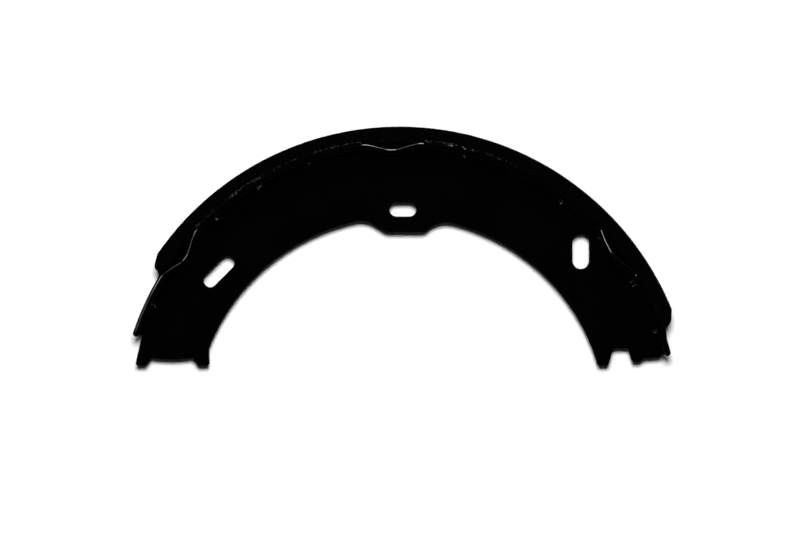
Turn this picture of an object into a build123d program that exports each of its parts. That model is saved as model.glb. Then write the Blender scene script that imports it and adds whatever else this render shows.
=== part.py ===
from build123d import *
from math import cos, degrees, radians, sin, sqrt, tan
import os

# Parking brake shoe for a small drum inside a brake disc. A stamped steel web stands
# edge-on against a rolled steel table, which makes a T section, and the table carries a
# bonded friction lining. The shoe lies on its side: Z is along the drum's axis, and the
# arch opens towards -Y. Everything is drawn about the drum's axis and moved at the end,
# so that the origin is at the middle of the footprint. Lengths are in millimetres, and
# angles in degrees, counted from +X about the drum's axis.

# ---- Driving dimensions ----

# Lining and table
friction_radius = 89.5        # worn face of the lining
lining_thickness = 4.0
grinding_shift = 0.2          # the worn face's centre lies this far towards +X
bond_thickness = 0.2          # film of adhesive under the lining
table_thickness = 2.0
shoe_width = 25.0             # width of the table, along the drum's axis
lining_setback = 0.2          # the lining's sides stop this far short of the table's edges
table_start = 13.4            # adjuster end of the table
table_end = 162.4             # expander end of the table
table_corner_round = 1.5      # corners of the strip's ends
table_edge_round = 1.0        # rolled-over edges on the strip's outer face
table_bore_round = 0.3        # edges of its inner face
lining_start = 18.95          # adjuster end of the lining, at the bond
lining_end = 148.5            # expander end of the lining, at the bond
lining_start_slant = 1.25     # run-back of each end face over its height
lining_end_slant = 0.8
lining_slant_height = 2.5
lining_chamfer_length = 3.9   # long chamfer that leads the friction face in
lining_chamfer_round = 1.6
bond_toe_height = 0.55        # adhesive squeezed out in the corner at each end of the lining
bond_start_toe = 2.4
bond_end_toe = 1.2

# Support nibs: dents pressed into both edges of the table
nib_angles = (37.8, 91.3, 142.9)
nib_length = 16.6             # along the arc
nib_depths = (2.4, 2.2, 2.85)  # inwards, at the strip's edges
nib_fullness = 0.66           # share of the depth that is reached half way down a flank
nib_run_out = 6.0             # from the edge to where the strip is plain again

# Web
web_thickness = 3.0
web_depth = 21.12             # from the table down to the inner edge, at the crown
inner_arc_drop = 1.14         # the inner edge's centre lies below the drum's axis
inner_arc_shift = 0.47        # and this far towards +X
web_edge_round = 0.15         # sheared edges, broken all round
foot_height = 16.3            # the feet end this far above the drum's axis
foot_inset = 0.35             # the left foot's outer side ends this far inside the web's arc

# Flat boss in the middle of the inner edge
boss_width = 12.0
boss_depth = 4.8
boss_shift = 2.0              # the middle of the boss lies this far towards +X
boss_left_slope = 31.0
boss_right_slope = 42.0
boss_edge_round = 2.2
boss_left_root_round = 7.0
boss_right_root_round = 8.5
boss_flank_land = 0.2         # least straight length left between a flank's two rounds

# Saddle for the expander, on the left foot
saddle_width = 22.8           # whole foot, across its lower end
foot_side_height = 5.1        # the foot's inner side meets the inner arc this far up
saddle_outer_prong = 3.35
saddle_inner_prong = 3.35
saddle_depth = 2.4
saddle_flank = 1.75           # slope of each flank of the recess, measured across
saddle_bulge = 0.5            # the recess's floor bulges out by this much
saddle_round = 0.75

# Notch for the adjuster, on the right foot
notch_inner_prong = 3.2
notch_mouth = 7.5
notch_floor = 4.55
notch_lean = 1.5              # slope of the notch's inner flank, measured across
notch_depth = 5.35
notch_outer_prong = 1.95
notch_outer_short = 1.15      # the outer prong is shorter than the inner one
notch_round = 1.1
notch_tip_round = 0.55        # corners of the outer prong and the ledge
ledge_height = 2.3            # ledge beside the outer prong, above the feet's ends
ledge_slope_length = 1.8
ledge_length = 4.3
ledge_rise = 0.2

# Slots through the web
hold_down_length = 8.2
hold_down_width = 4.2
hold_down_land = 4.95         # metal between the boss's edge and the slot
hold_down_shift = 1.18
left_slot_length = 11.9
left_slot_width = 4.2
left_slot_angle = 140.8       # where its middle is
left_slot_depth = 11.6        # from the web's outer edge to its middle
left_slot_direction = 45.0
right_slot_length = 10.7
right_slot_width = 5.25
right_slot_angle = 42.56
right_slot_depth = 7.16
right_slot_direction = 90.0

# Welds in the corners between web and table
weld_count = 13
weld_start = 18.4
weld_end = 155.9
weld_length = 4.2
weld_radius = 1.7

# ---- Sizes that follow ----
bond_radius = friction_radius - lining_thickness
table_radius = bond_radius - bond_thickness
web_radius = table_radius - table_thickness
web_bottom = (shoe_width - web_thickness) / 2
web_top = web_bottom + web_thickness
inner_arc_radius = web_radius - web_depth + inner_arc_drop
inner_arc_centre = (inner_arc_shift, -inner_arc_drop)


def polar(radius, angle):
    """Point at a radius and angle about the drum's axis."""
    return (radius * cos(radians(angle)), radius * sin(radians(angle)))


def degrees_for(length, radius):
    """Angle that an arc of the given length takes up at a radius."""
    return degrees(length / radius)


def inner_arc_x(height, side):
    """Where the inner arc is at a height; side is -1 for the left foot and 1 for the right."""
    reach = sqrt(inner_arc_radius**2 - (height + inner_arc_drop) ** 2)
    return inner_arc_shift + side * reach


def inner_arc_y(x):
    """Height of the inner arc at a place across the arch."""
    return sqrt(inner_arc_radius**2 - (x - inner_arc_shift) ** 2) - inner_arc_drop


def ring_sector(inner, outer, start, end):
    """Flat piece of a ring about the drum's axis, from one angle to another."""
    return make_face(
        [
            CenterArc((0, 0), outer, start, end - start),
            Line(polar(outer, end), polar(inner, end)),
            CenterArc((0, 0), inner, start, end - start),
            Line(polar(inner, start), polar(outer, start)),
        ]
    )


def round_corners(face, corners):
    """Rounds the corner nearest to each named point by its own radius."""
    for point, radius in corners:
        corner = face.vertices().sort_by_distance((*point, 0))[0]
        face = fillet(corner, radius)
    return face


# ---- Web ----


def boss_corner(side):
    """One end of the boss's flat edge; side is -1 for the left end and 1 for the right."""
    return (boss_shift + side * boss_width / 2, inner_arc_y(0) - boss_depth)


def boss_flank(side, slope, rise):
    """Point on one flank of the boss, at a height above its flat edge."""
    corner_x, edge = boss_corner(side)
    return (corner_x + side * rise / tan(radians(slope)), edge + rise)


def boss_face():
    """Flat boss that stands out from the inner edge towards the drum's axis."""
    root = 2 * boss_depth
    left_root = boss_flank(-1, boss_left_slope, root)
    right_root = boss_flank(1, boss_right_slope, root)
    return make_face(Polyline(boss_corner(-1), boss_corner(1), right_root, left_root, close=True))


def boss_root(side, slope):
    """Where one flank of the boss runs into the inner arc."""
    root_x = boss_flank(side, slope, boss_depth)[0]
    return (root_x, inner_arc_y(root_x))


def boss_root_round(side, slope, wanted):
    """Round between a flank and the inner arc, no larger than the flank has room for."""
    corner_x, edge = boss_corner(side)
    flank_start = boss_edge_round * tan(radians(slope / 2)) + boss_flank_land
    across = side * (corner_x - inner_arc_shift) + flank_start * cos(radians(slope))
    up = edge + inner_arc_drop + flank_start * sin(radians(slope))
    lean = across * sin(radians(slope)) - up * cos(radians(slope))
    room = (inner_arc_radius**2 - across**2 - up**2) / (2 * (inner_arc_radius + lean))
    return min(wanted, room)


def left_foot_corners():
    """Corners of the left foot: at the table's end, its two lower ones, and the top of its
    inner side."""
    outer = foot_inset - sqrt(web_radius**2 - foot_height**2)
    side_top = foot_height + foot_side_height
    return [
        polar(web_radius, table_end),
        (outer, foot_height),
        (outer + saddle_width, foot_height),
        (inner_arc_x(side_top, -1), side_top),
    ]


def left_foot_room():
    """All of the ring that lies below the left foot's upper line, which the foot takes over."""
    table_corner, _, _, side_top = left_foot_corners()
    far = -2 * web_radius
    below = -foot_height
    outline = Polyline(
        table_corner, side_top, (side_top[0], below), (far, below), (far, table_corner[1]), close=True
    )
    return make_face(outline)


def saddle_corners():
    """Corners of the expander's recess: two on the feet's line and two on its floor."""
    _, outer, inner, _ = left_foot_corners()
    floor = foot_height + saddle_depth
    mouth_left = outer[0] + saddle_outer_prong
    mouth_right = inner[0] - saddle_inner_prong
    return [
        (mouth_left, foot_height),
        (mouth_left + saddle_flank, floor),
        (mouth_right - saddle_flank, floor),
        (mouth_right, foot_height),
    ]


def saddle_recess():
    """Recess between the left foot's prongs, with a floor that bulges out a little."""
    mouth_left, floor_left, floor_right, mouth_right = saddle_corners()
    floor_middle = ((floor_left[0] + floor_right[0]) / 2, floor_left[1] - saddle_bulge)
    below = foot_height - saddle_depth
    outline = [
        Polyline((mouth_left[0], below), mouth_left, floor_left),
        ThreePointArc(floor_left, floor_middle, floor_right),
        Polyline(floor_right, mouth_right, (mouth_right[0], below), (mouth_left[0], below)),
    ]
    return make_face(outline)


def notch_corners():
    """Corners of the right foot's lower edge, from its inner prong out to the ledge."""
    inner = inner_arc_x(foot_height, 1) + notch_inner_prong
    floor = foot_height + notch_depth
    outer_tip = foot_height + notch_outer_short
    ledge = foot_height + ledge_height
    prong = inner + notch_mouth
    ledge_start = prong + notch_outer_prong + ledge_slope_length
    return [
        (inner, foot_height),
        (inner + notch_lean, floor),
        (inner + notch_lean + notch_floor, floor),
        (prong, outer_tip),
        (prong + notch_outer_prong, outer_tip),
        (ledge_start, ledge),
        (ledge_start + ledge_length, ledge + ledge_rise),
    ]


def notch_cut():
    """All that is cut away below the right foot's lower edge."""
    corners = notch_corners()
    ledge_end = corners[-1]
    table_corner = polar(web_radius, table_start)
    outside = web_radius + table_thickness
    below = foot_height - notch_depth
    beyond = (outside, table_corner[1])
    return make_face(
        Polyline(
            *corners, table_corner, beyond, (outside, below), (corners[0][0], below), close=True
        )
    )


def hold_down_slot():
    """Level slot above the boss."""
    height = inner_arc_y(0) - boss_depth + hold_down_land + hold_down_width / 2
    return Pos(hold_down_shift, height) * SlotOverall(hold_down_length, hold_down_width)


def spring_slot(angle, depth, direction, length, width):
    """Slot for a return spring's hook."""
    return Pos(*polar(web_radius - depth, angle)) * Rot(0, 0, direction) * SlotOverall(length, width)


def web_face():
    """Outline of the web, with its feet, boss and slots."""
    reach = 2 * web_radius
    above_feet = Pos(0, foot_height + reach / 2) * Rectangle(2 * reach, reach)
    face = Circle(web_radius) - Pos(*inner_arc_centre) * Circle(inner_arc_radius)
    face = (face & above_feet) - left_foot_room()
    face = face + make_face(Polyline(*left_foot_corners(), close=True)) + boss_face()
    face = face - saddle_recess() - notch_cut()

    left_round = boss_root_round(-1, boss_left_slope, boss_left_root_round)
    right_round = boss_root_round(1, boss_right_slope, boss_right_root_round)
    corners = [(boss_corner(-1), boss_edge_round), (boss_corner(1), boss_edge_round)]
    corners += [(boss_root(-1, boss_left_slope), left_round)]
    corners += [(boss_root(1, boss_right_slope), right_round)]
    corners += [(corner, saddle_round) for corner in left_foot_corners()[1:3]]
    corners += [(corner, saddle_round) for corner in saddle_corners()]
    corners += [((inner_arc_x(foot_height, 1), foot_height), notch_round)]
    corners += [(corner, notch_round) for corner in notch_corners()[:3]]
    corners += [(corner, notch_tip_round) for corner in notch_corners()[3:]]
    face = round_corners(face, corners)

    left_slot = spring_slot(
        left_slot_angle, left_slot_depth, left_slot_direction, left_slot_length, left_slot_width
    )
    right_slot = spring_slot(
        right_slot_angle, right_slot_depth, right_slot_direction, right_slot_length, right_slot_width
    )
    return face - hold_down_slot() - left_slot - right_slot


def make_web():
    """Stamped plate on edge, half way across the table."""
    plate = Pos(0, 0, web_bottom) * extrude(web_face(), web_thickness)
    outlines = plate.edges().filter_by(Plane.XY)
    return fillet(outlines, web_edge_round)


# ---- Table ----


def dented_arc(radius, angle, depth):
    """Curve along the strip that dips smoothly inwards by the nib's depth and comes back."""
    half = degrees_for(nib_length, table_radius) / 2
    flank = nib_fullness * depth
    dips = {-1.0: 0, -0.5: flank, 0.0: depth, 0.5: flank, 1.0: 0}
    points = [polar(radius - dip, angle + share * half) for share, dip in dips.items()]
    along_start = polar(1, angle - half + 90)
    along_end = polar(1, angle + half + 90)
    return Spline(points, tangents=(along_start, along_end))


def nib_section(angle, depth):
    """Cross-section of the strip across one nib at the strip's edge, seen along the drum's axis."""
    outer = dented_arc(table_radius, angle, depth)
    inner = dented_arc(web_radius, angle, depth)
    return make_face([outer, Line(outer @ 1, inner @ 1), inner, Line(inner @ 0, outer @ 0)])


def nib(angle, depth, edge_level, plain_level):
    """One dent, deepest at the strip's edge and running out to the plain strip."""
    half = degrees_for(nib_length, table_radius) / 2
    edge = Pos(0, 0, edge_level) * nib_section(angle, depth)
    plain = Pos(0, 0, plain_level) * ring_sector(web_radius, table_radius, angle - half, angle + half)
    return loft([edge, plain], ruled=True)


def side_edges(strip, radius):
    """Edges of the strip's two sides that start on the face of this radius."""
    sides = strip.faces().sort_by(Axis.Z)
    outlines = sides[0].edges() + sides[-1].edges()
    outlines = outlines.filter_by(GeomType.LINE, reverse=True)
    return outlines.filter_by(lambda edge: abs(Vector((edge @ 0).X, (edge @ 0).Y).length - radius) < 0.01)


def make_table():
    """Strip rolled to the arch, with three nibs pressed into each edge."""
    strip = extrude(ring_sector(web_radius, table_radius, table_start, table_end), shoe_width)
    end_edges = strip.edges().filter_by(GeomType.LINE).filter_by(Plane.XY)
    strip = fillet(end_edges, table_corner_round)
    half = degrees_for(nib_length, table_radius) / 2
    levels = ((0, nib_run_out), (shoe_width, shoe_width - nib_run_out))
    for angle, depth in zip(nib_angles, nib_depths):
        gap = ring_sector(web_radius - depth, table_radius + depth, angle - half, angle + half)
        for edge_level, plain_level in levels:
            room = Pos(0, 0, min(edge_level, plain_level)) * extrude(gap, nib_run_out)
            strip = strip - room + nib(angle, depth, edge_level, plain_level)
    strip = fillet(side_edges(strip, table_radius), table_edge_round)
    return fillet(side_edges(strip, web_radius), table_bore_round)


# ---- Lining, film and welds ----


def worn_point(angle):
    """Point on the lining's worn face."""
    x, y = polar(friction_radius, angle)
    return (x + grinding_shift, y)


def lining_end_points(angle, slant_length, turn):
    """Corners of one end of the lining, from the bond out; turn is 1 where the lining lies
    towards larger angles."""
    slant = degrees_for(slant_length, bond_radius)
    chamfer = degrees_for(lining_chamfer_length, friction_radius)
    heel = polar(bond_radius, angle)
    knee = polar(bond_radius + lining_slant_height, angle + turn * slant)
    toe = worn_point(angle + turn * (slant + chamfer))
    return heel, knee, toe


def lining_face():
    """Outline of the lining, with its slanted, rounded ends."""
    right = lining_end_points(lining_start, lining_start_slant, 1)
    left = lining_end_points(lining_end, lining_end_slant, -1)
    crown = (lining_start + lining_end) / 2
    face = make_face(
        [
            ThreePointArc(right[0], polar(bond_radius, crown), left[0]),
            Polyline(*left),
            ThreePointArc(left[2], worn_point(crown), right[2]),
            Polyline(*reversed(right)),
        ]
    )
    corners = [(right[1], lining_chamfer_round), (left[1], lining_chamfer_round)]
    return round_corners(face, corners)


def make_lining():
    """Segment of friction material, moulded and ground."""
    return Pos(0, 0, lining_setback) * extrude(lining_face(), shoe_width - 2 * lining_setback)


def bond_toe(angle, length, turn):
    """Adhesive in the corner beyond one end of the lining; turn is 1 where it lies towards
    larger angles."""
    tip = polar(table_radius, angle + turn * degrees_for(length, table_radius))
    heel = polar(table_radius, angle)
    crest = polar(table_radius + bond_toe_height, angle)
    middle = polar(table_radius, angle + turn * degrees_for(length / 2, table_radius))
    return make_face([Line(tip, crest), Line(crest, heel), ThreePointArc(heel, middle, tip)])


def make_bond_line():
    """Film of adhesive between the table and the lining, with what was squeezed out at its ends."""
    face = ring_sector(table_radius, bond_radius, lining_start, lining_end)
    toes = bond_toe(lining_start, bond_start_toe, -1) + bond_toe(lining_end, bond_end_toe, 1)
    face = face + toes - lining_face()
    return Pos(0, 0, lining_setback) * extrude(face, shoe_width - 2 * lining_setback)


def weld_bead(level):
    """Short bead on +X, in the corner between the table and one face of the web."""
    strip = Pos(web_radius + weld_radius, level) * Rectangle(2 * weld_radius, 4 * weld_radius)
    plate = RectangleRounded(4 * weld_radius, web_thickness, web_edge_round)
    section = Pos(web_radius, level) * Circle(weld_radius) - strip
    section = section - Pos(web_radius - 2 * weld_radius, shoe_width / 2) * plate
    span = degrees_for(weld_length, web_radius)
    bead = Rot(0, 0, -span / 2) * revolve(Plane.XZ * section, Axis.Z, span)
    ends = bead.edges().filter_by(lambda edge: edge.geom_type == GeomType.CIRCLE)
    ends = ends.filter_by(lambda edge: abs(edge.radius / weld_radius - 1) < 0.01)
    return fillet(ends, weld_radius / 2)


def make_weld_beads():
    """Welds on both faces of the web, evenly spaced along the table."""
    pitch = (weld_end - weld_start) / (weld_count - 1)
    pair = [weld_bead(web_bottom), weld_bead(web_top)]
    places = [Rot(0, 0, weld_start + index * pitch) for index in range(weld_count)]
    return Compound([place * bead for place in places for bead in pair])


# ---- Assembly ----

parts = {
    "shoe_web": make_web(),
    "shoe_table": make_table(),
    "friction_lining": make_lining(),
    "bond_line": make_bond_line(),
    "weld_beads": make_weld_beads(),
}

boxes = [part.bounding_box() for part in parts.values()]
middle_x = (min(box.min.X for box in boxes) + max(box.max.X for box in boxes)) / 2
middle_y = (min(box.min.Y for box in boxes) + max(box.max.Y for box in boxes)) / 2
to_origin = Pos(-middle_x, -middle_y, 0)
print("drum axis at", round(-middle_x, 4), round(-middle_y, 4))

os.makedirs("parts", exist_ok=True)
for name, part in parts.items():
    export_step(to_origin * part, f"parts/{name}.step")
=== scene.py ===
from math import cos, pi, radians, sin

import bpy
import numpy as np
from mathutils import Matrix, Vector


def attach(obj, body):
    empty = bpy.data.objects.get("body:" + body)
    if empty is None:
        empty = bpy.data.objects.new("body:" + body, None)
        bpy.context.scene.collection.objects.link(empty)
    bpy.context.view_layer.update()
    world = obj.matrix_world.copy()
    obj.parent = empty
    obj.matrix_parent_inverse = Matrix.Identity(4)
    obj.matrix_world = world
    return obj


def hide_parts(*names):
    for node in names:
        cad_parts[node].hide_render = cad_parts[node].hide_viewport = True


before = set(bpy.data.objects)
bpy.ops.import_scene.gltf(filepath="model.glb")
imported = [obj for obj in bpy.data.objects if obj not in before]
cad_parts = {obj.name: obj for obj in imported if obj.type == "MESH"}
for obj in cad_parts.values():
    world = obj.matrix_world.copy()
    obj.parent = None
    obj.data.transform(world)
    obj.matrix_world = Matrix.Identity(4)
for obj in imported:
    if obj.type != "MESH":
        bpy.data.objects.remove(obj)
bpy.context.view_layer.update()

# Parking brake shoe on a pale floor. Shapes are worked out in millimetres about the drum's
# axis, with angles in degrees from +X, and put into metres in the frame at the end.

MM = 0.001
DRUM_X, DRUM_Y = -0.9286, -52.9

# ---- Sizes ----

# As in the solids
FRICTION_RADIUS = 89.5
LINING_THICKNESS = 4.0
FILM_THICKNESS = 0.2
STRIP_THICKNESS = 2.0
BOND_RADIUS = FRICTION_RADIUS - LINING_THICKNESS
TABLE_RADIUS = BOND_RADIUS - FILM_THICKNESS
BORE_RADIUS = TABLE_RADIUS - STRIP_THICKNESS
SHOE_WIDTH = 25.0
STRIP_START, STRIP_END = 13.4, 162.4
STRIP_CORNER = 1.5
STRIP_EDGE_ROUND = 1.0
STRIP_BORE_ROUND = 0.3
NIB_RUN_OUT = 6.0
LINING_START, LINING_END = 18.95, 148.5
LINING_SETBACK = 0.2
GRINDING_SHIFT = 0.2
START_SLANT, END_SLANT = 1.25, 0.8
SLANT_HEIGHT = 2.5
CHAMFER_LENGTH = 3.9
TOE_HEIGHT = 0.55
START_TOE, END_TOE = 2.4, 1.2
WEB_THICKNESS = 3.0
WEB_BOTTOM = (SHOE_WIDTH - WEB_THICKNESS) / 2
WEB_TOP = WEB_BOTTOM + WEB_THICKNESS
WELD_ANGLES = np.linspace(18.4, 155.9, 13)
WELD_LENGTH = 4.2
WELD_RADIUS = 1.7

# Shaped a little more closely than in the solids
NIB_ANGLES = (37.8, 91.4, 142.85)
NIB_DEPTHS = (2.25, 2.2, 2.85)
NIB_LENGTH = 16.9
NIB_STEPS = (0.0, 0.16, 0.5, 0.75, 1.0)
CURVED_NIB = (1.0, 0.957, 0.7, 0.39, 0.0)
STRAIGHT_NIB = (1.0, 1.0, 0.595, 0.298, 0.0)
NIB_PROFILES = (CURVED_NIB, STRAIGHT_NIB, STRAIGHT_NIB)
NIB_ROUND = 0.09

# Detail that the solids leave out
LINING_EDGE_ROUND = 0.28
SQUEEZE_GAP = 0.6             # degrees of bare strip beside each nib
SINK_LENGTH = 0.15            # degrees over which the squeezed adhesive sinks
SINK_DEPTH = 0.6
SINK_RISE = 0.35              # how much further out it goes as it sinks
LEAST_DEPTH = 0.006           # nothing rises closer than this to the shoe's side
WELD_SEED = 71


# ---- Making surfaces ----


def around_drum(radius, angle, level):
    """Points in the frame, from a radius and a level in mm and an angle in degrees: the drum's
    middle plus the radius times the angle's cosine and sine."""
    radius, angle, level = np.broadcast_arrays(radius, np.radians(angle), level)
    x = DRUM_X + radius * np.cos(angle)
    y = DRUM_Y + radius * np.sin(angle)
    return np.stack([x, y, level], axis=-1) * MM


def degrees_for(length, radius):
    """Angle that an arc of this length takes up at this radius."""
    return np.degrees(length / radius)


def lattice_noise(points, cell, seed):
    """Smooth noise between -1 and 1. Random values at the corners of a cubic lattice with this
    cell are blended in each cell by 3t^2 - 2t^3 in all three directions."""
    table = np.random.default_rng(seed).uniform(-1, 1, 4096)
    scaled = points / cell
    base = np.floor(scaled).astype(np.int64)
    share = scaled - base
    blend = share**2 * (3 - 2 * share)
    total = np.zeros(points.shape[:-1])
    for corner in np.ndindex(2, 2, 2):
        key = (base + corner) @ np.array([73856093, 19349663, 83492791]) % len(table)
        weight = np.prod(np.where(np.array(corner) == 1, blend, 1 - blend), axis=-1)
        total = total + weight * table[key]
    return total


def rough_noise(points, cell, seed):
    """Three layers of smooth noise, each with half the cell and half the height of the last."""
    layers = [lattice_noise(points, cell / 2**k, seed + k) / 2**k for k in range(3)]
    return sum(layers) / 1.75


def tube_faces(stations, ring):
    """Quads of a closed tube. Each station is joined to the next round its ring, and both ends
    are filled by quads from each point to the one across the section."""
    index = np.arange(stations * ring).reshape(stations, ring)
    after = np.roll(index, -1, axis=1)
    sides = np.stack([index[:-1], after[:-1], after[1:], index[1:]], axis=-1).reshape(-1, 4)
    near = np.arange(ring // 2 - 1)
    cap = np.stack([near, ring - 1 - near, ring - 2 - near, near + 1], axis=-1)
    return np.concatenate([sides, cap, cap[:, ::-1] + (stations - 1) * ring])


def outward(points, faces):
    """The same faces, turned so that the volume they enclose counts as positive."""
    corners = points[faces]
    first = np.cross(corners[:, 1] - corners[:, 0], corners[:, 2] - corners[:, 0])
    second = np.cross(corners[:, 2] - corners[:, 0], corners[:, 3] - corners[:, 0])
    volume = ((first + second) * (corners[:, 0] - points.mean(axis=0))).sum()
    return faces if volume > 0 else faces[:, ::-1]


def piece_from(name, grids, material, node):
    """One piece made of closed tubes, each a grid of stations by ring by 3. It rides with the
    shoe and stands for the CAD node."""
    all_points, all_faces, count = [], [], 0
    for grid in grids:
        points = grid.reshape(-1, 3)
        faces = outward(points, tube_faces(*grid.shape[:2]))
        all_points.append(points)
        all_faces.append(faces + count)
        count += len(points)
    points, faces = np.concatenate(all_points), np.concatenate(all_faces)
    mesh = bpy.data.meshes.new(name)
    mesh.vertices.add(len(points))
    mesh.vertices.foreach_set("co", points.ravel().astype(np.float32))
    mesh.loops.add(faces.size)
    mesh.loops.foreach_set("vertex_index", faces.ravel().astype(np.int32))
    mesh.polygons.add(len(faces))
    mesh.polygons.foreach_set("loop_start", np.arange(0, faces.size, 4, dtype=np.int32))
    mesh.polygons.foreach_set("use_smooth", np.ones(len(faces), dtype=bool))
    mesh.update(calc_edges=True)
    mesh.validate()
    mesh.materials.append(material)
    piece = bpy.data.objects.new(name, mesh)
    bpy.context.scene.collection.objects.link(piece)
    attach(piece, "root")
    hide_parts(node)
    return piece


def quarter_round(count, radius):
    """Quarter circle that joins an edge to a side: how far in from the edge each point is, and
    how far in from the side."""
    turn = np.linspace(0, pi / 2, count)
    return radius * (1 - np.cos(turn)), radius * (1 - np.sin(turn))


# ---- Table ----


def nib_dip(angle, level):
    """How far the strip is pressed in. Along the arc each nib follows its profile p(s), with
    straight lines between steps of s, the share of the way from its middle to its end; the
    corners are rounded by an average over nearby s. That is times a run-out 1 - 3q^2 + 2q^3
    across the strip, where q is the share of the way in from the nearer edge to plain strip."""
    edge_distance = np.minimum(level, SHOE_WIDTH - level)
    q = np.clip(edge_distance / NIB_RUN_OUT, 0, 1)
    run_out = 1 - 3 * q**2 + 2 * q**3
    half = degrees_for(NIB_LENGTH, TABLE_RADIUS) / 2
    offsets = np.linspace(-NIB_ROUND, NIB_ROUND, 9)
    dip = 0
    for place, depth, profile in zip(NIB_ANGLES, NIB_DEPTHS, NIB_PROFILES):
        share = (angle - place) / half
        shapes = [np.interp(np.abs(share + offset), NIB_STEPS, profile) for offset in offsets]
        dip = dip + depth * sum(shapes) / len(shapes)
    return dip * run_out


def strip_section():
    """Section of the strip as stand, from the middle of its thickness outwards, and level: the
    outer face between two large rounds, then the inner face between two small ones."""
    half_thickness = STRIP_THICKNESS / 2

    def face(edge_round):
        inward, sideways = quarter_round(11, edge_round)
        spread = (1 - np.cos(np.linspace(0, pi, 44)[1:-1])) / 2
        flat = edge_round + spread * (SHOE_WIDTH - 2 * edge_round)
        stand = half_thickness - np.concatenate([sideways, 0 * flat, sideways[::-1]])
        return stand, np.concatenate([inward, flat, SHOE_WIDTH - inward[::-1]])

    outer_stand, outer_level = face(STRIP_EDGE_ROUND)
    inner_stand, inner_level = face(STRIP_BORE_ROUND)
    stand = np.concatenate([outer_stand, -inner_stand[::-1]])
    return stand, np.concatenate([outer_level, inner_level[::-1]])


def strip_grid():
    """The rolled strip: its section carried along the arc. Near each end the section gets
    narrower by R - sqrt(R^2 - (R - s)^2), where s is the way from the end and R the corner's
    radius, and thinner by a quarter circle at the end itself, whose edges are rounded too."""
    stand, level = strip_section()
    length = radians(STRIP_END - STRIP_START) * TABLE_RADIUS
    rolled, thinner = quarter_round(11, STRIP_EDGE_ROUND)
    corner = STRIP_CORNER * (1 - np.cos(np.linspace(0, pi / 2, 26)))
    ends = np.unique(np.round(np.concatenate([rolled, corner]), 3))
    middle = np.linspace(ends[-1], length - ends[-1], 470)[1:-1]
    along = np.concatenate([ends, middle, length - ends[::-1]])
    from_end = np.minimum(along, length - along)[:, None]

    into_corner = np.clip(STRIP_CORNER - from_end, 0, STRIP_CORNER)
    trim = STRIP_CORNER - np.sqrt(STRIP_CORNER**2 - into_corner**2)
    middle_level = SHOE_WIDTH / 2
    flat = middle_level - STRIP_EDGE_ROUND
    shrink = (flat - trim) / flat
    offset = np.clip(level - middle_level, -flat, flat)
    level = middle_level + offset * shrink + (level - middle_level - offset)
    stand = stand * (1 - np.interp(from_end, rolled, thinner, right=0) * 2 / STRIP_THICKNESS)

    angle = STRIP_START + np.degrees(along / TABLE_RADIUS)[:, None]
    middle_radius = (TABLE_RADIUS + BORE_RADIUS) / 2
    radius = middle_radius + stand - nib_dip(angle, level)
    grid = around_drum(radius, angle, level)
    wander = lattice_noise(grid, 9 * MM, 11)[..., None] * 0.03 * MM
    outwards = grid - np.array([DRUM_X, DRUM_Y, 0]) * MM
    outwards[..., 2] = 0
    outwards /= np.linalg.norm(outwards, axis=-1, keepdims=True)
    return grid - outwards * np.abs(wander)


# ---- Lining ----


def flat_point(radius, angle):
    """X and Y about the drum's axis, from a radius in mm and an angle in degrees."""
    return np.stack([radius * np.cos(np.radians(angle)), radius * np.sin(np.radians(angle))], -1)


def worn_point(angle):
    """Point on the worn face, whose centre lies a little towards +X."""
    return flat_point(FRICTION_RADIUS, angle) + (GRINDING_SHIFT, 0)


def lining_outline():
    """Closed outline of the lining as X and Y: up the slanted end, round the knee, along the
    chamfer, over the friction face and down the other end, then back along the bond. The knee
    is a quadratic curve between the slant and the chamfer."""

    def toe_angle(angle, slant, turn):
        reach = degrees_for(slant, BOND_RADIUS) + degrees_for(CHAMFER_LENGTH, FRICTION_RADIUS)
        return angle + turn * reach

    def end_path(angle, slant, turn):
        heel = flat_point(BOND_RADIUS + 0.02, angle)
        knee = flat_point(BOND_RADIUS + SLANT_HEIGHT, angle + turn * degrees_for(slant, BOND_RADIUS))
        toe = worn_point(toe_angle(angle, slant, turn))
        before = knee + 0.42 * (heel - knee)
        after = knee + 0.27 * (toe - knee)
        t = np.linspace(0, 1, 14)[:, None]
        bend = (1 - t) ** 2 * before + 2 * t * (1 - t) * knee + t**2 * after
        up = np.linspace(heel, before, 6)[:-1]
        lead_in = np.linspace(after, toe, 9)[1:]
        return np.concatenate([up, bend, lead_in])

    ends = (LINING_START, START_SLANT, 1), (LINING_END, END_SLANT, -1)
    right, left = (end_path(*end) for end in ends)
    crown = worn_point(np.linspace(toe_angle(*ends[0]), toe_angle(*ends[1]), 440)[1:-1])
    outer = np.concatenate([right, crown, left[::-1]])
    inner = flat_point(BOND_RADIUS, np.linspace(LINING_START, LINING_END, len(outer)))
    return np.concatenate([outer, inner[::-1]])


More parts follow.
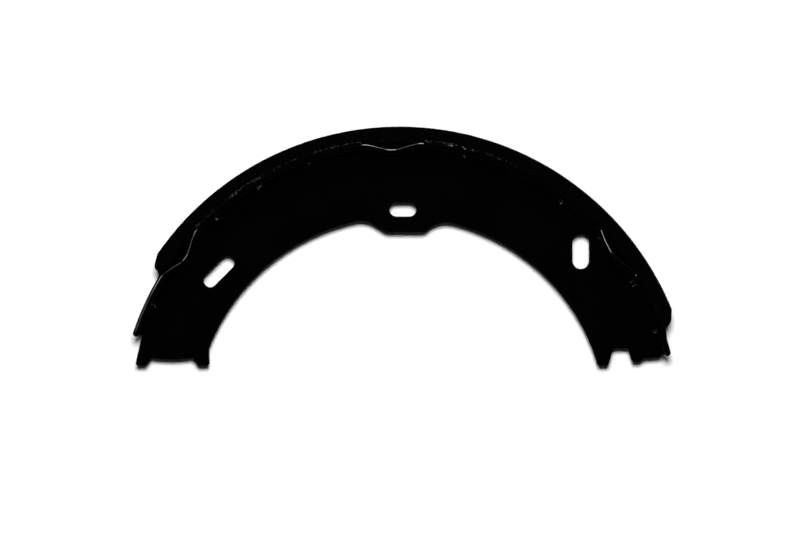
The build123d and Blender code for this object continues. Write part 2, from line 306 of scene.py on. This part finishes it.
def lining_grid():
    """The lining: its outline carried across the shoe. Near both sides the outline is drawn in
    by a quarter circle, so the edges are broken, and noise makes the edges and the friction
    face slightly uneven."""
    flat = lining_outline()
    along = np.roll(flat, -1, axis=0) - np.roll(flat, 1, axis=0)
    along /= np.linalg.norm(along, axis=1, keepdims=True)
    inwards = np.stack([-along[:, 1], along[:, 0]], axis=-1)
    if (inwards[100] * flat[100]).sum() > 0:
        inwards = -inwards

    edge, drawn = quarter_round(6, LINING_EDGE_ROUND)
    low, high = LINING_SETBACK, SHOE_WIDTH - LINING_SETBACK
    middle = np.linspace(low + LINING_EDGE_ROUND, high - LINING_EDGE_ROUND, 40)[1:-1]
    level = np.concatenate([low + edge, middle, high - edge[::-1]])[:, None]
    drawn = np.concatenate([drawn, np.zeros(len(middle)), drawn[::-1]])[:, None]

    rough = (np.linalg.norm(flat, axis=1) > BOND_RADIUS + 0.5)[None, :]
    place = np.stack(np.broadcast_arrays(flat[:, 0], flat[:, 1], level), axis=-1)
    worn = 0.05 * np.abs(rough_noise(place, 1.6, 21)) + 0.03 * np.abs(rough_noise(place, 6.0, 27))
    draw = drawn + worn * rough * (1 + 1.5 * (drawn > 0.02))
    x = DRUM_X + flat[:, 0] + inwards[:, 0] * draw
    y = DRUM_Y + flat[:, 1] + inwards[:, 1] * draw
    return np.stack(np.broadcast_arrays(x, y, level), axis=-1) * MM


# ---- Adhesive ----


def film_grid():
    """Thin film under the lining: a flat section carried along the arc. Points close to its
    corners keep its narrow sides flat."""
    angle = np.linspace(LINING_START, LINING_END, 300)[:, None]
    low, high = LINING_SETBACK, SHOE_WIDTH - LINING_SETBACK
    across = np.linspace(low, high, 8)
    near = 0.005
    inside = [BOND_RADIUS - near, TABLE_RADIUS + near]
    radius = np.concatenate([np.full(8, BOND_RADIUS), inside, np.full(8, TABLE_RADIUS), inside[::-1]])
    level = np.concatenate([across, [high, high], across[::-1], [low, low]])
    return around_drum(radius, angle, level)


def squeeze_grid(side):
    """Adhesive squeezed out along one side. Its section covers the strip's rounded edge and
    fills the groove up to the lining, and sinks away where a nib leaves the corner open. Noise
    lifts it in grains beside the lining, more of them in some stretches than in others."""
    angle = np.linspace(LINING_START, LINING_END, 2400)[:, None]
    top_radius = np.array([-1.15, -0.95, -0.75, -0.55, -0.35, -0.2, -0.05, 0.1, 0.25, 0.37, 0.45])
    top_depth = np.array([0.05, 0.015, 0.015, 0.02, 0.025, 0.03, 0.035, 0.04, 0.05, 0.1, 0.24])
    under_radius = np.array([0.4, 0.2, 0.0, -0.2, -0.6])
    under_depth = np.array([0.5, 0.7, 0.7, 0.7, 0.4])
    radius = TABLE_RADIUS + np.concatenate([top_radius, under_radius])
    depth = np.concatenate([top_depth, under_depth])

    grain_places = [18.0, 50.0, 56.0, 74.0, 84.0, 89.0, 113.0, 120.0, 136.0, 140.0, 149.0]
    grain_amounts = [0.1, 0.15, 0.5, 1.0, 1.0, 0.2, 0.2, 1.0, 1.0, 0.3, 0.2]
    amount = np.interp(angle, grain_places, grain_amounts)
    lifted = np.interp(top_radius, [-0.4, -0.1, 0.3, 0.45], [0, 1, 1, 0])
    lifted = np.concatenate([lifted, 0 * under_radius])
    place = around_drum(radius, angle, depth) / MM
    seed = 31 if side > 0 else 47
    grains = np.abs(rough_noise(place, 0.5, seed)) + 0.5 * lattice_noise(place, 1.6, seed + 5)
    depth = depth + amount * lifted * (0.07 - 0.15 * grains)

    half = degrees_for(NIB_LENGTH, TABLE_RADIUS) / 2
    to_nib = np.min([np.abs(angle - place) for place in NIB_ANGLES], axis=0) - half
    sunk = np.interp(to_nib, [SQUEEZE_GAP, SQUEEZE_GAP + SINK_LENGTH], [1, 0])
    depth = np.maximum(depth + SINK_DEPTH * sunk, LEAST_DEPTH)
    radius = radius + SINK_RISE * sunk
    return around_drum(radius, angle, SHOE_WIDTH - depth if side > 0 else depth)


def toe_grid(place, length, turn):
    """Adhesive in the corner beyond one end of the lining. Its top rises as the square of the
    way in from its tip, with noise, and it is carried across the shoe."""
    level = np.linspace(LINING_SETBACK + 0.1, SHOE_WIDTH - LINING_SETBACK - 0.1, 120)[:, None]
    share = np.linspace(0, 1, 14)
    reach = degrees_for(length, TABLE_RADIUS)
    uneven = 1 + 0.25 * lattice_noise(np.stack([level, level * 0, level * 0], axis=-1), 3.0, 61)
    top = TABLE_RADIUS + 0.01 + TOE_HEIGHT * share**2
    under = np.full(14, TABLE_RADIUS - 0.03)
    angle = place + turn * reach * (1 - np.concatenate([share, share[::-1]])) * uneven
    radius = np.concatenate([top, under])
    grid = around_drum(radius, angle, level)
    radius = radius + 0.04 * rough_noise(grid / MM, 0.8, 67) * (radius > TABLE_RADIUS)
    return around_drum(radius, angle, level)


# ---- Welds ----


def weld_grid(place, level, seed):
    """One weld: an ellipsoid in the corner of web and table, most of it inside the metal. Noise
    and a fine ripple along it make its surface uneven."""
    along = np.linspace(-1, 1, 30)
    along = np.sin(along * pi / 2)[:, None] * 0.999
    turn = (np.arange(20) + 0.5) / 20 * 2 * pi
    width = WELD_RADIUS * (1 - np.abs(along) ** 2.6) ** 0.5
    spot = np.stack(np.broadcast_arrays(along * 2.1, np.cos(turn), np.sin(turn)), axis=-1)
    lumps = 1 + 0.2 * rough_noise(spot, 0.6, seed) + 0.03 * np.sin(along * 16)
    radius = BORE_RADIUS + width * lumps * np.cos(turn)
    angle = place + degrees_for(WELD_LENGTH / 2, BORE_RADIUS) * along
    return around_drum(radius, angle, level + width * lumps * np.sin(turn))


# ---- Shader groups ----


def new_group(name, inputs, outputs):
    """Shader group with number inputs and their values, and outputs of the named types."""
    group = bpy.data.node_groups.new(name, "ShaderNodeTree")
    for label, value in inputs.items():
        socket = group.interface.new_socket(label, in_out="INPUT", socket_type="NodeSocketFloat")
        socket.default_value = value
    for label, kind in outputs.items():
        group.interface.new_socket(label, in_out="OUTPUT", socket_type=kind)
    return group


class Wiring:
    """Adds nodes to a tree and links them."""

    def __init__(self, tree):
        self.tree = tree

    def add(self, kind, values=None, links=None, **settings):
        node = self.tree.nodes.new("ShaderNode" + kind)
        for name, value in settings.items():
            setattr(node, name, value)
        for name, value in (values or {}).items():
            node.inputs[name].default_value = value
        for name, source in (links or {}).items():
            self.tree.links.new(source, node.inputs[name])
        return node

    def math(self, operation, first, second=0.0, clamp=False):
        node = self.tree.nodes.new("ShaderNodeMath")
        node.operation = operation
        node.use_clamp = clamp
        for socket, value in zip(node.inputs, (first, second)):
            if isinstance(value, (int, float)):
                socket.default_value = value
            else:
                self.tree.links.new(value, socket)
        return node.outputs[0]

    def ramp(self, source, stops):
        node = self.tree.nodes.new("ShaderNodeValToRGB")
        ramp = node.color_ramp
        while len(ramp.elements) < len(stops):
            ramp.elements.new(0.5)
        for element, (position, color) in zip(ramp.elements, stops):
            element.position = position
            element.color = (*color, 1) if isinstance(color, tuple) else (color, color, color, 1)
        self.tree.links.new(source, node.inputs["Fac"])
        return node.outputs["Color"]

    def group(self, group, values=None):
        node = self.tree.nodes.new("ShaderNodeGroup")
        node.node_tree = group
        for name, value in (values or {}).items():
            if isinstance(value, (int, float)):
                node.inputs[name].default_value = value
            else:
                self.tree.links.new(value, node.inputs[name])
        return node


def object_point(wiring):
    """Object coordinates, in metres."""
    return wiring.add("TexCoord").outputs["Object"]


def coat_skin_group():
    """Skin of a dip coat: a height that undulates like orange peel, with small nibs of grit."""
    group = new_group(
        "coat_skin",
        {"Peel per metre": 700.0, "Grit per metre": 2600.0},
        {"Height": "NodeSocketFloat", "Gloss change": "NodeSocketFloat"},
    )
    wiring = Wiring(group)
    source = group.nodes.new("NodeGroupInput")
    point = object_point(wiring)
    peel = wiring.add("TexNoise", {"Detail": 2.0, "Roughness": 0.45}, {"Vector": point})
    group.links.new(source.outputs["Peel per metre"], peel.inputs["Scale"])
    grit = wiring.add("TexVoronoi", {"Randomness": 1.0}, {"Vector": point}, feature="F1")
    group.links.new(source.outputs["Grit per metre"], grit.inputs["Scale"])
    bead = wiring.add(
        "MapRange",
        {"From Min": 0.0, "From Max": 0.16, "To Min": 1.0, "To Max": 0.0},
        {"Value": grit.outputs["Distance"]},
        interpolation_type="SMOOTHSTEP",
    )
    seen = wiring.add("SeparateColor", None, {"Color": grit.outputs["Color"]})
    rare = wiring.math("GREATER_THAN", seen.outputs[0], 0.985)
    grit_height = wiring.math("MULTIPLY", wiring.math("MULTIPLY", bead.outputs[0], rare), 0.6)
    height = wiring.math("ADD", peel.outputs["Fac"], grit_height)
    patch = wiring.add(
        "TexNoise", {"Scale": 55.0, "Detail": 4.0, "Roughness": 0.6}, {"Vector": point}
    )
    target = group.nodes.new("NodeGroupOutput")
    group.links.new(height, target.inputs["Height"])
    group.links.new(patch.outputs["Fac"], target.inputs["Gloss change"])
    return group


def edge_group():
    """Mask of the edges: how far the true normal is from one that is rounded over a distance."""
    group = new_group(
        "edge_mask",
        {"Width": 0.0006, "Threshold": 0.04, "Break up per metre": 900.0},
        {"Mask": "NodeSocketFloat"},
    )
    wiring = Wiring(group)
    source = group.nodes.new("NodeGroupInput")
    bevel = wiring.add("Bevel", samples=6)
    group.links.new(source.outputs["Width"], bevel.inputs["Radius"])
    true = wiring.add("NewGeometry").outputs["Normal"]
    match = wiring.add("VectorMath", operation="DOT_PRODUCT")
    group.links.new(bevel.outputs["Normal"], match.inputs[0])
    group.links.new(true, match.inputs[1])
    turned = wiring.math("SUBTRACT", 1.0, match.outputs["Value"])
    noise = wiring.add("TexNoise", {"Detail": 3.0}, {"Vector": object_point(wiring)})
    group.links.new(source.outputs["Break up per metre"], noise.inputs["Scale"])
    uneven = wiring.math("MULTIPLY", turned, wiring.math("MULTIPLY", noise.outputs["Fac"], 2.0))
    over = wiring.math("SUBTRACT", uneven, source.outputs["Threshold"])
    mask = wiring.math("MULTIPLY", over, 6.0, clamp=True)
    target = group.nodes.new("NodeGroupOutput")
    group.links.new(mask, target.inputs["Mask"])
    return group


def dust_group():
    """Mask of fine dust that has settled on surfaces that face up."""
    group = new_group(
        "settled_dust", {"Specks per metre": 1500.0, "Amount": 0.5}, {"Mask": "NodeSocketFloat"}
    )
    wiring = Wiring(group)
    source = group.nodes.new("NodeGroupInput")
    speck = wiring.add("TexVoronoi", None, {"Vector": object_point(wiring)}, feature="F1")
    group.links.new(source.outputs["Specks per metre"], speck.inputs["Scale"])
    dot = wiring.add(
        "MapRange",
        {"From Min": 0.05, "From Max": 0.13, "To Min": 1.0, "To Max": 0.0},
        {"Value": speck.outputs["Distance"]},
    )
    shade = wiring.add("SeparateColor", None, {"Color": speck.outputs["Color"]})
    few = wiring.math("GREATER_THAN", shade.outputs[1], 0.93)
    facing = wiring.add("SeparateXYZ", None, {"Vector": wiring.add("NewGeometry").outputs["Normal"]})
    up = wiring.math("MULTIPLY", facing.outputs["Z"], 1.0, clamp=True)
    mask = wiring.math("MULTIPLY", wiring.math("MULTIPLY", dot.outputs[0], few), up)
    mask = wiring.math("MULTIPLY", mask, source.outputs["Amount"], clamp=True)
    target = group.nodes.new("NodeGroupOutput")
    group.links.new(mask, target.inputs["Mask"])
    return group


coat_skin = coat_skin_group()
edge_mask = edge_group()
settled_dust = dust_group()


# ---- Materials ----

GROUND_DEPTHS = (0.25, 0.07)        # mm under the worn face where its look begins and is full
GLINTS_FADE = (20.0, 45.0)          # mm towards +X where the adhesive's glints begin to fade and end


def new_material(name):
    """Material with a Principled shader, its tree's wiring and the shader."""
    material = bpy.data.materials.new(name)
    material.use_nodes = True
    wiring = Wiring(material.node_tree)
    return material, wiring, material.node_tree.nodes["Principled BSDF"]


def mix_color(wiring, mask, first, second):
    """Colour that goes from the first to the second as the mask goes from 0 to 1."""
    node = wiring.add("Mix", data_type="RGBA")
    wiring.tree.links.new(mask, node.inputs["Factor"])
    for socket, value in ((node.inputs[6], first), (node.inputs[7], second)):
        if isinstance(value, tuple):
            socket.default_value = (*value, 1)
        else:
            wiring.tree.links.new(value, socket)
    return node.outputs[2]


def coat_material(name, peel, bump, roughness, shear=0.0):
    """Thin black dip coat on steel: near black, satin, with orange peel, edges where the coat is
    thin, and a little dust. Upright walls shine less. Shear adds the upright marks of a stamped
    edge to them, and makes them dull."""
    material, wiring, shader = new_material(name)
    links = material.node_tree.links
    skin = wiring.group(coat_skin, {"Peel per metre": peel})
    edges = wiring.group(edge_mask, {"Width": 0.0005})
    dust = wiring.group(settled_dust, {"Amount": 0.35})
    thin = wiring.math("MULTIPLY", edges.outputs["Mask"], 0.5)
    color = mix_color(wiring, thin, (0.0003, 0.0003, 0.0003), (0.0009, 0.0009, 0.0009))
    color = mix_color(wiring, dust.outputs["Mask"], color, (0.003, 0.003, 0.0029))
    links.new(color, shader.inputs["Base Color"])
    gloss = wiring.add(
        "MapRange",
        {"To Min": roughness[0], "To Max": roughness[1]},
        {"Value": skin.outputs["Gloss change"]},
    )
    dulled = wiring.math("ADD", gloss.outputs[0], wiring.math("MULTIPLY", dust.outputs["Mask"], 0.5))
    height = skin.outputs["Height"]
    facing = wiring.add("SeparateXYZ", None, {"Vector": wiring.add("NewGeometry").outputs["Normal"]})
    wall = wiring.math("SUBTRACT", 1.0, wiring.math("ABSOLUTE", facing.outputs["Z"]))
    if shear:
        squash = wiring.add("Mapping", {"Scale": (1.0, 1.0, 0.06)}, {"Vector": object_point(wiring)})
        marks = wiring.add(
            "TexNoise", {"Scale": 3800.0, "Detail": 2.0}, {"Vector": squash.outputs["Vector"]}
        )
        cut = wiring.math("MULTIPLY", wiring.math("MULTIPLY", marks.outputs["Fac"], wall), shear)
        height = wiring.math("ADD", height, cut)
        dulled = wiring.math("ADD", dulled, wiring.math("MULTIPLY", wall, 0.6))
    links.new(dulled, shader.inputs["Roughness"])
    relief = wiring.add("Bump", {"Strength": bump, "Distance": 0.00006}, {"Height": height})
    links.new(relief.outputs["Normal"], shader.inputs["Normal"])
    specular = wiring.add(
        "MapRange",
        {"From Min": 0.12, "From Max": 0.32, "To Min": 0.25, "To Max": 0.04},
        {"Value": wall},
    )
    links.new(specular.outputs[0], shader.inputs["Specular IOR Level"])
    return material


def friction_material():
    """Moulded friction composite: near black, matt and porous, with mineral grains, short
    fibres and a few bright flecks. The ground face has fine scratches along the arc."""
    material, wiring, shader = new_material("friction_composite")
    links = material.node_tree.links
    point = object_point(wiring)
    centred = wiring.add("VectorMath", operation="SUBTRACT")
    links.new(point, centred.inputs[0])
    centred.inputs[1].default_value = (DRUM_X * MM, DRUM_Y * MM, 0)
    parts = wiring.add("SeparateXYZ", None, {"Vector": centred.outputs["Vector"]})
    across = wiring.math("MULTIPLY", parts.outputs["X"], parts.outputs["X"])
    up = wiring.math("MULTIPLY", parts.outputs["Y"], parts.outputs["Y"])
    radius = wiring.math("SQRT", wiring.math("ADD", across, up))
    turn = wiring.math("ARCTAN2", parts.outputs["Y"], parts.outputs["X"])
    arc = wiring.add("CombineXYZ")
    links.new(wiring.math("MULTIPLY", turn, 0.004), arc.inputs["X"])
    links.new(radius, arc.inputs["Y"])
    links.new(parts.outputs["Z"], arc.inputs["Z"])
    below, above = ((FRICTION_RADIUS - depth) * MM for depth in GROUND_DEPTHS)
    ground = wiring.add(
        "MapRange",
        {"From Min": below, "From Max": above, "To Min": 0.0, "To Max": 1.0},
        {"Value": radius},
    )

    grain = wiring.add("TexNoise", {"Scale": 1400.0, "Detail": 5.0, "Roughness": 0.7}, {"Vector": point})
    cells = wiring.add("TexVoronoi", {"Scale": 1700.0}, {"Vector": point}, feature="F1")
    shade = wiring.add("SeparateColor", None, {"Color": cells.outputs["Color"]})
    fleck = wiring.math("GREATER_THAN", shade.outputs[0], 0.95)
    dot = wiring.add(
        "MapRange",
        {"From Min": 0.22, "From Max": 0.42, "To Min": 1.0, "To Max": 0.0},
        {"Value": cells.outputs["Distance"]},
    )
    fleck = wiring.math("MULTIPLY", fleck, dot.outputs[0])
    fibre_space = wiring.add(
        "Mapping", {"Scale": (1.0, 1.0, 0.16), "Rotation": (0.6, 0.4, 0.3)}, {"Vector": point}
    )
    fibres = wiring.add("TexVoronoi", {"Scale": 2300.0}, {"Vector": fibre_space.outputs["Vector"]})
    fibre_shade = wiring.add("SeparateColor", None, {"Color": fibres.outputs["Color"]})
    fibre = wiring.math("GREATER_THAN", fibre_shade.outputs[1], 0.94)
    fibre_line = wiring.math("LESS_THAN", fibres.outputs["Distance"], 0.2)
    fibre = wiring.math("MULTIPLY", fibre, fibre_line)

    moulded_stops = [(0.35, (0.0002, 0.0002, 0.0002)), (0.7, (0.0008, 0.0008, 0.0007))]
    worn_stops = [(0.3, (0.014, 0.014, 0.0135)), (0.7, (0.034, 0.033, 0.032))]
    base = wiring.ramp(grain.outputs["Fac"], moulded_stops)
    worn = wiring.ramp(grain.outputs["Fac"], worn_stops)
    color = mix_color(wiring, ground.outputs[0], base, worn)
    side_fleck = wiring.math("ADD", wiring.math("MULTIPLY", ground.outputs[0], 0.98), 0.02)
    color = mix_color(wiring, wiring.math("MULTIPLY", fleck, side_fleck), color, (0.11, 0.085, 0.05))
    color = mix_color(wiring, wiring.math("MULTIPLY", fibre, side_fleck), color, (0.07, 0.07, 0.068))
    edges = wiring.group(edge_mask, {"Width": 0.0005, "Break up per metre": 1500.0})
    chipped = wiring.math("MULTIPLY", edges.outputs["Mask"], 0.25)
    color = mix_color(wiring, chipped, color, (0.0025, 0.0025, 0.0024))
    links.new(color, shader.inputs["Base Color"])

    scratches = wiring.add(
        "TexNoise", {"Scale": 6000.0, "Detail": 3.0}, {"Vector": arc.outputs["Vector"]}
    )
    scratched = wiring.math("MULTIPLY", scratches.outputs["Fac"], ground.outputs[0])
    scratched = wiring.math("MULTIPLY", scratched, 0.8)
    pores = wiring.math("MULTIPLY", wiring.math("GREATER_THAN", shade.outputs[2], 0.9), dot.outputs[0])
    height = wiring.math("ADD", grain.outputs["Fac"], scratched)
    height = wiring.math("SUBTRACT", height, wiring.math("MULTIPLY", pores, 0.6))
    relief = wiring.add("Bump", {"Strength": 0.6, "Distance": 0.00012}, {"Height": height})
    links.new(relief.outputs["Normal"], shader.inputs["Normal"])
    rough = wiring.add("MapRange", {"To Min": 0.62, "To Max": 0.9}, {"Value": grain.outputs["Fac"]})
    links.new(rough.outputs[0], shader.inputs["Roughness"])
    shader.inputs["Specular IOR Level"].default_value = 0.008
    return material


def adhesive_material():
    """Cured bonding adhesive: dark, grainy and glossy in spots, which fade out towards +X."""
    material, wiring, shader = new_material("cured_adhesive")
    links = material.node_tree.links
    point = object_point(wiring)
    grain = wiring.add("TexNoise", {"Scale": 2400.0, "Detail": 3.0, "Roughness": 0.6}, {"Vector": point})
    stops = [(0.4, (0.0003, 0.0003, 0.0003)), (0.75, (0.0012, 0.0012, 0.0012))]
    color = wiring.ramp(grain.outputs["Fac"], stops)
    links.new(color, shader.inputs["Base Color"])
    spots = wiring.add("TexNoise", {"Scale": 500.0, "Detail": 2.0}, {"Vector": point})
    rough = wiring.add(
        "MapRange",
        {"From Min": 0.35, "From Max": 0.6, "To Min": 0.08, "To Max": 0.24},
        {"Value": spots.outputs["Fac"]},
    )
    links.new(rough.outputs[0], shader.inputs["Roughness"])
    relief = wiring.add("Bump", {"Strength": 0.12, "Distance": 0.0001}, {"Height": grain.outputs["Fac"]})
    links.new(relief.outputs["Normal"], shader.inputs["Normal"])
    glints = wiring.add("TexNoise", {"Scale": 1300.0, "Detail": 1.0}, {"Vector": point})
    specular = wiring.add(
        "MapRange",
        {"From Min": 0.5, "From Max": 0.62, "To Min": 0.015, "To Max": 0.28},
        {"Value": glints.outputs["Fac"]},
    )
    place = wiring.add("SeparateXYZ", None, {"Vector": point})
    fade_start, fade_end = (reach * MM for reach in GLINTS_FADE)
    fading = wiring.add(
        "MapRange",
        {"From Min": fade_start, "From Max": fade_end, "To Min": 1.0, "To Max": 0.12},
        {"Value": place.outputs["X"]},
    )
    shine = wiring.math("MULTIPLY", specular.outputs[0], fading.outputs[0])
    links.new(shine, shader.inputs["Specular IOR Level"])
    return material


web_coat = coat_material("web_dip_coat", 700.0, 0.16, (0.11, 0.21), shear=0.9)
table_coat = coat_material("table_dip_coat", 600.0, 0.07, (0.06, 0.12))
weld_coat = coat_material("weld_dip_coat", 2200.0, 1.0, (0.11, 0.21))
lining_stuff = friction_material()
adhesive = adhesive_material()


# ---- Pieces ----

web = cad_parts["shoe_web"]
web.data.materials.clear()
web.data.materials.append(web_coat)

piece_from("table_strip", [strip_grid()], table_coat, "shoe_table")
piece_from("lining_pad", [lining_grid()], lining_stuff, "friction_lining")
toes = [toe_grid(LINING_START, START_TOE, -1), toe_grid(LINING_END, END_TOE, 1)]
bond_grids = [film_grid(), squeeze_grid(1), squeeze_grid(-1)] + toes
piece_from("bonding_adhesive", bond_grids, adhesive, "bond_line")
welds = [
    weld_grid(place, level, WELD_SEED + 2 * index + side)
    for index, place in enumerate(WELD_ANGLES)
    for side, level in enumerate((WEB_BOTTOM, WEB_TOP))
]
piece_from("web_welds", welds, weld_coat, "weld_beads")


# ---- Floor ----

FLOOR_HALF = 3.0
FLOOR_LEVEL = -2e-5


def floor_material():
    """Pale floor. It takes shadows, and seen directly or in a reflection it glows more and more
    away from the shoe, as the lamp fades, so that it stays white."""
    material, wiring, shader = new_material("pale_floor")
    distance = wiring.add("VectorMath", operation="LENGTH")
    material.node_tree.links.new(object_point(wiring), distance.inputs[0])
    share = wiring.math("DIVIDE", distance.outputs["Value"], FLOOR_HALF, clamp=True)
    stops = [(0.1, 0.0), (0.3, 0.2), (0.5, 0.46), (1.0, 0.86), (2.0, 1.0)]
    glow = wiring.ramp(share, [(reach / FLOOR_HALF, value) for reach, value in stops])
    shader.inputs["Base Color"].default_value = (0.93, 0.93, 0.93, 1)
    shader.inputs["Roughness"].default_value = 0.9
    shader.inputs["Specular IOR Level"].default_value = 0.0
    path = wiring.add("LightPath")
    seen = wiring.math("MAXIMUM", path.outputs["Is Camera Ray"], path.outputs["Is Glossy Ray"])
    seen = wiring.math("MAXIMUM", seen, path.outputs["Is Transmission Ray"])
    glow = mix_color(wiring, seen, (0.0, 0.0, 0.0), glow)
    material.node_tree.links.new(glow, shader.inputs["Emission Color"])
    shader.inputs["Emission Strength"].default_value = 1.0
    return material


floor_mesh = bpy.data.meshes.new("floor")
corners = [(-1, -1), (1, -1), (1, 1), (-1, 1)]
floor_mesh.from_pydata(
    [(x * FLOOR_HALF, y * FLOOR_HALF, FLOOR_LEVEL) for x, y in corners], [], [(0, 1, 2, 3)]
)
floor_mesh.materials.append(floor_material())
floor = bpy.data.objects.new("floor", floor_mesh)
bpy.context.scene.collection.objects.link(floor)


# ---- Light ----

KEY_LIGHT_SIZE = 0.102
KEY_LIGHT_POWER = 8.1
KEY_LIGHT_PLACE = (-0.001, 0.082, 0.833)
EDGE_LIGHT_ELEVATION = 50
EDGE_LIGHT_DISTANCE = 0.8
EDGE_LIGHT_HEIGHT = 0.16
AIM_LEVEL = 0.02

# Name, azimuth from +X in degrees, width in metres and radiance
EDGE_LIGHTS = [
    ("left_front", 168.0, 0.08, 8.0),
    ("left", 155.0, 0.13, 24.0),
    ("left_back", 132.0, 0.12, 7.0),
    ("back_left", 116.0, 0.10, 6.0),
    ("back_wide", 91.0, 0.36, 7.0),
    ("back", 88.5, 0.13, 44.0),
    ("right", 19.0, 0.10, 38.0),
]


def set_world():
    """White for the camera, a weak even fill for soft light, and for gloss a dark studio with
    a pale glow low down beyond the shoe, towards +Y."""
    world = bpy.data.worlds.new("studio")
    bpy.context.scene.world = world
    world.use_nodes = True
    wiring = Wiring(world.node_tree)
    background = world.node_tree.nodes["Background"]
    direction = wiring.add("TexCoord").outputs["Generated"]
    axes = wiring.add("SeparateXYZ", None, {"Vector": direction})
    glow = wiring.ramp(axes.outputs["Z"], [(0.0, 0.3), (0.3, 0.2), (0.5, 0.12), (0.65, 0.0)])
    beyond = wiring.ramp(axes.outputs["Y"], [(0.0, 0.06), (0.5, 1.0)])
    studio = wiring.add("VectorMath", operation="MULTIPLY")
    wiring.tree.links.new(glow, studio.inputs[0])
    wiring.tree.links.new(beyond, studio.inputs[1])
    path = wiring.add("LightPath")
    light = mix_color(
        wiring, path.outputs["Is Glossy Ray"], (0.015, 0.015, 0.015), studio.outputs["Vector"]
    )
    light = mix_color(wiring, path.outputs["Is Camera Ray"], light, (1.0, 1.0, 1.0))
    world.node_tree.links.new(light, background.inputs["Color"])


def aim(lamp, azimuth, elevation, distance):
    """Puts a lamp at an azimuth from +X and an elevation, and turns it to face the shoe."""
    a, e = radians(azimuth), radians(elevation)
    towards = Vector((cos(a) * cos(e), sin(a) * cos(e), sin(e)))
    lamp.location = towards * distance + Vector((0, 0, AIM_LEVEL))
    lamp.rotation_euler = towards.to_track_quat("Z", "Y").to_euler()


def key_light():
    """Overhead lamp, a small disc beside the camera, which gives short, soft-edged shadows."""
    data = bpy.data.lights.new("overhead", "AREA")
    data.shape = "DISK"
    data.size = KEY_LIGHT_SIZE
    data.energy = KEY_LIGHT_POWER
    lamp = bpy.data.objects.new("overhead", data)
    bpy.context.scene.collection.objects.link(lamp)
    lamp.location = KEY_LIGHT_PLACE
    lamp.visible_glossy = False
    lamp.visible_camera = False


def edge_light(name, azimuth, width, radiance):
    """Lamp beside the shoe that shows only in gloss. Its power is radiance times pi times its
    area."""
    data = bpy.data.lights.new(name, "AREA")
    data.shape = "RECTANGLE"
    data.size, data.size_y = width, EDGE_LIGHT_HEIGHT
    data.energy = radiance * pi * width * EDGE_LIGHT_HEIGHT
    lamp = bpy.data.objects.new(name, data)
    bpy.context.scene.collection.objects.link(lamp)
    aim(lamp, azimuth, EDGE_LIGHT_ELEVATION, EDGE_LIGHT_DISTANCE)
    lamp.visible_diffuse = False
    lamp.visible_camera = False


set_world()
key_light()
for edge in EDGE_LIGHTS:
    edge_light(*edge)


# ---- Camera ----

CAMERA_PLACE = (-0.0006246, -0.0060, 0.833)
LENS_MM = 119.6

scene = bpy.context.scene
camera = bpy.data.objects.new("camera", bpy.data.cameras.new("camera"))
scene.collection.objects.link(camera)
camera.data.lens = LENS_MM
camera.data.sensor_width = 36.0
camera.data.clip_start, camera.data.clip_end = 0.01, 10.0
camera.location = CAMERA_PLACE
camera.rotation_euler = (0, 0, 0)
scene.camera = camera
scene.view_settings.view_transform = "Standard"
